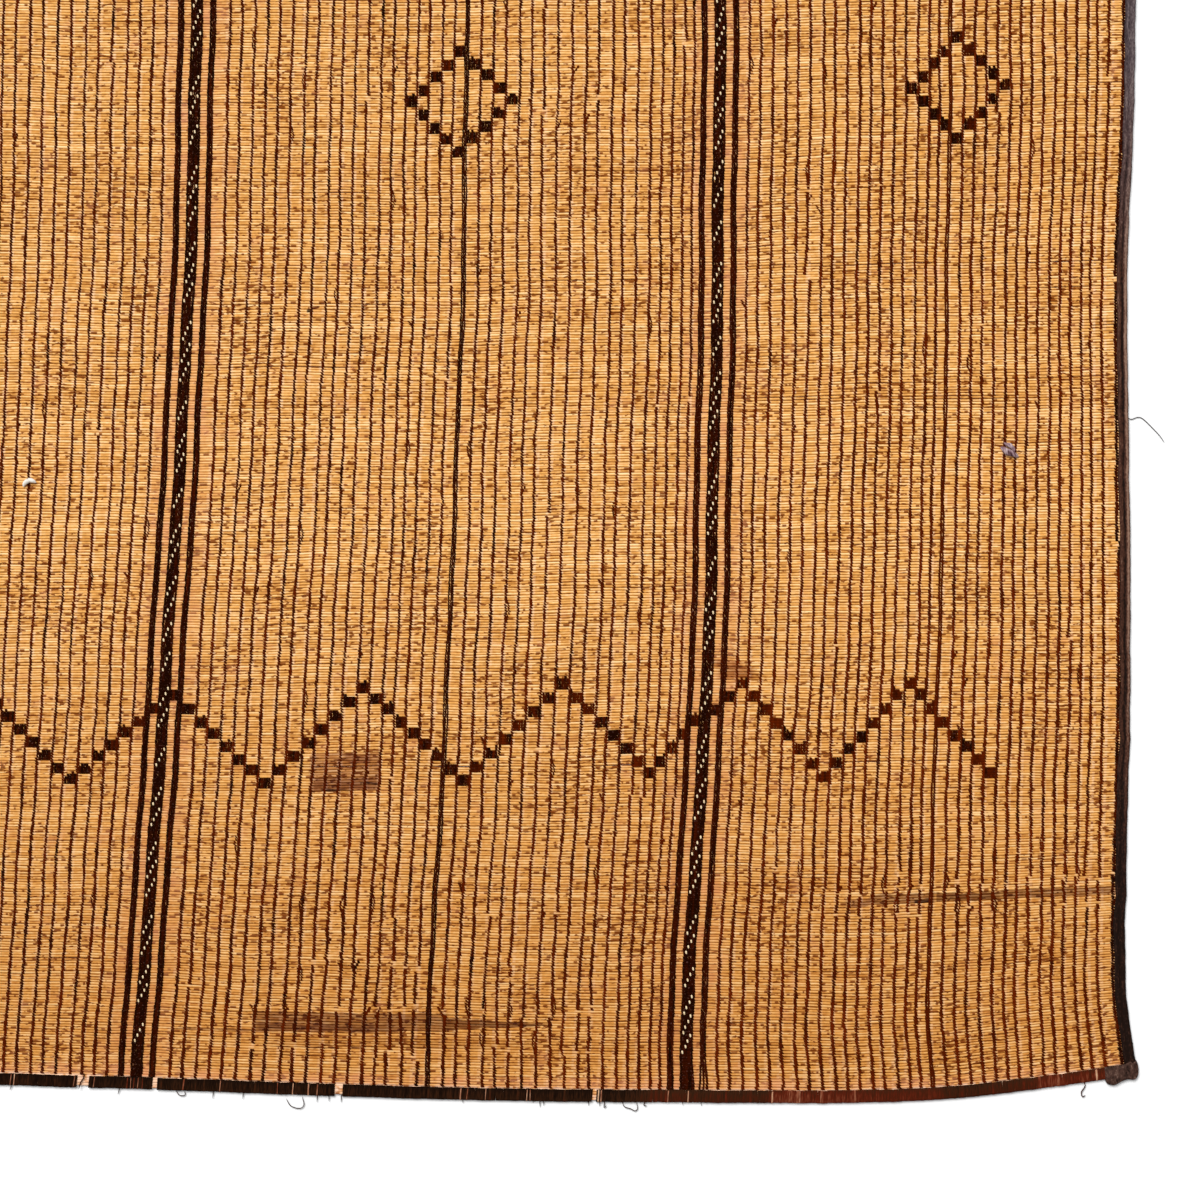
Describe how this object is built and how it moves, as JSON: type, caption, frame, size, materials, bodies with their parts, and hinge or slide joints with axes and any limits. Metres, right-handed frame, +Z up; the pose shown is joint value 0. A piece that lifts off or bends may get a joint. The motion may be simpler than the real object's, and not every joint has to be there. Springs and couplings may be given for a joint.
{
  "type": "tuareg mat",
  "caption": "Flat floor mat of thin grass stalks laced together with dark leather, with leather bands, a zigzag and diamonds of small laced squares, and leather-bound edges.",
  "frame": {"origin": "on the ground, under the middle of the mat's box", "axes": "+Y along the leather laces, the mat's length; +X along the grass stalks; +Z up, away from the ground"},
  "size_m": [1.334, 1.8372, 0.0037],
  "materials": {
    "grass_stalks": "dry grass stems, satin",
    "lace_leather": "thin dark dyed leather, worn",
    "binding_leather": "worn folded leather",
    "end_lacing": "leather wound over the end"
  },
  "bodies": {
    "root": {"stalk_field": "grass_stalks", "band_left_lace_1": "lace_leather", "band_left_lace_2": "lace_leather", "band_left_lace_3": "lace_leather", "band_right_lace_1": "lace_leather", "band_right_lace_2": "lace_leather", "band_right_lace_3": "lace_leather", "panel_line_left": "lace_leather", "panel_line_centre": "lace_leather", "panel_line_right": "lace_leather", "side_binding_left": "binding_leather", "side_binding_right": "binding_leather", "corner_cap_front_left": "binding_leather", "corner_cap_front_right": "binding_leather", "corner_cap_back_left": "binding_leather", "corner_cap_back_right": "binding_leather", "end_binding_front": "end_lacing", "end_binding_back": "end_lacing"}
  },
  "joints": []
}
